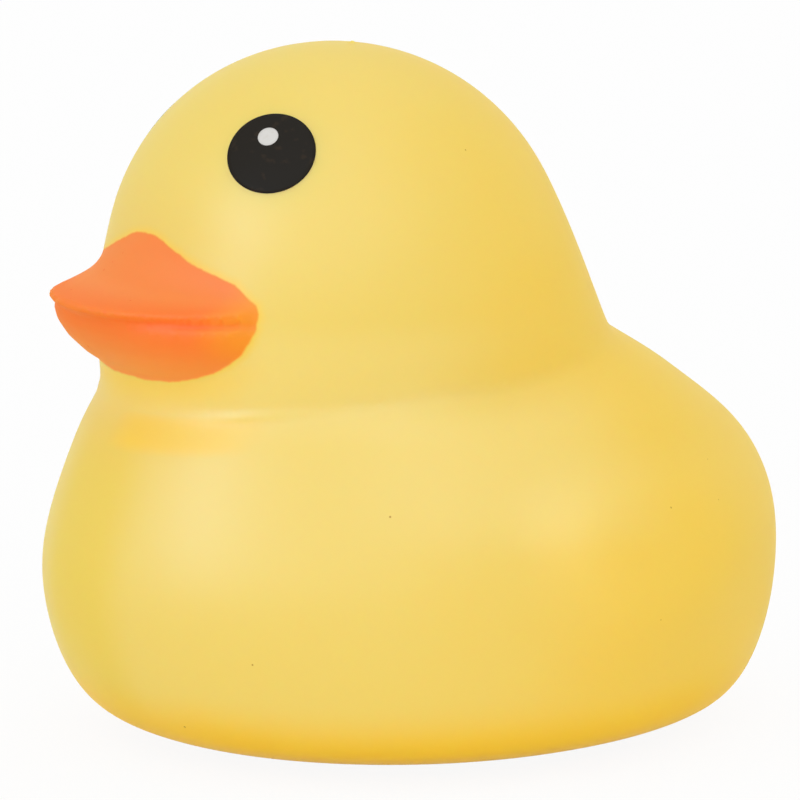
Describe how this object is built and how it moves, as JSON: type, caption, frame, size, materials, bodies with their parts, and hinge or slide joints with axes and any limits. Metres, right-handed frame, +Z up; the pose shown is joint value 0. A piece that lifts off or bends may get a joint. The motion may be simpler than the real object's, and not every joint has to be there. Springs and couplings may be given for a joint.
{
  "type": "toy duck",
  "caption": "Hollow moulded squeeze duck with a round head, a broad two-lipped bill, a wide low body with low-relief wings, a blunt tail and a flat sole to float or stand on.",
  "frame": {"origin": "middle of the flat sole, on the plane the duck stands on", "axes": "+Z up from the sole to the crown, -Y the way the bill points, +X to the duck's left"},
  "size_m": [0.0862, 0.0952, 0.0853],
  "materials": {
    "skin": "satin soft vinyl in warm yellow, with a sprayed orange bill and printed black eyes"
  },
  "bodies": {
    "root": {"duck": "skin"}
  },
  "joints": []
}
